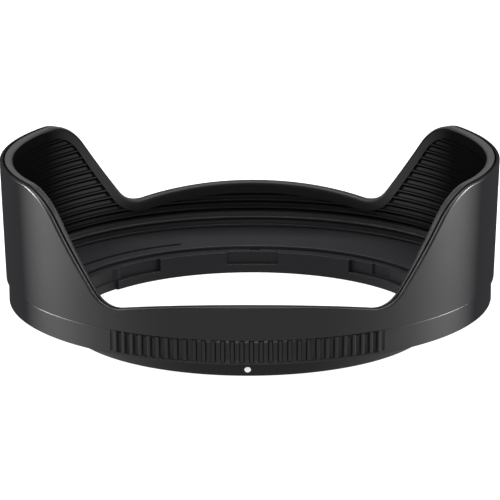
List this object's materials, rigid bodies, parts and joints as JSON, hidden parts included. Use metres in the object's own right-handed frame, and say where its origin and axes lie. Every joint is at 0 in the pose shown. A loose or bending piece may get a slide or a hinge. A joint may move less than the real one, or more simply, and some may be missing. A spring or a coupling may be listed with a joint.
{
  "type": "lens hood",
  "caption": "Petal lens hood with a ribbed inside, a knurled grip ring, a bayonet mount with flexing click arms and a white index dot.",
  "frame": {"origin": "centre of the rear face of the bayonet skirt, on the optical axis", "axes": "+Z along the optical axis to the front; tall petals on +X and -X; short petals on +Y and -Y; index dot on -Y"},
  "size_m": [0.1016, 0.1004, 0.0355],
  "materials": {
    "shell_plastic": "fine satin grain",
    "liner_black": "dead matt",
    "mount_plastic": "smooth satin",
    "index_white": "matt paint fill"
  },
  "bodies": {
    "hood": {"outer_shell": "shell_plastic", "inner_liner": "liner_black", "grip_ring": "shell_plastic", "mount_ring": "mount_plastic", "index_dot": "index_white"},
    "rear_click_arm": {"click_arm_rear": "mount_plastic"},
    "front_click_arm": {"click_arm_front": "mount_plastic"}
  },
  "joints": [
    {"name": "rear_click_flex", "type": "hinge", "parent": "hood", "child": "rear_click_arm", "pos_m": [-0.02226, 0.03239, 0], "axis": [0, 0, -1], "range_deg": [0, 1], "stiffness_Nm_per_rad": 4},
    {"name": "front_click_flex", "type": "hinge", "parent": "hood", "child": "front_click_arm", "pos_m": [0.02226, -0.03239, 0], "axis": [0, 0, -1], "range_deg": [0, 1], "stiffness_Nm_per_rad": 4}
  ]
}
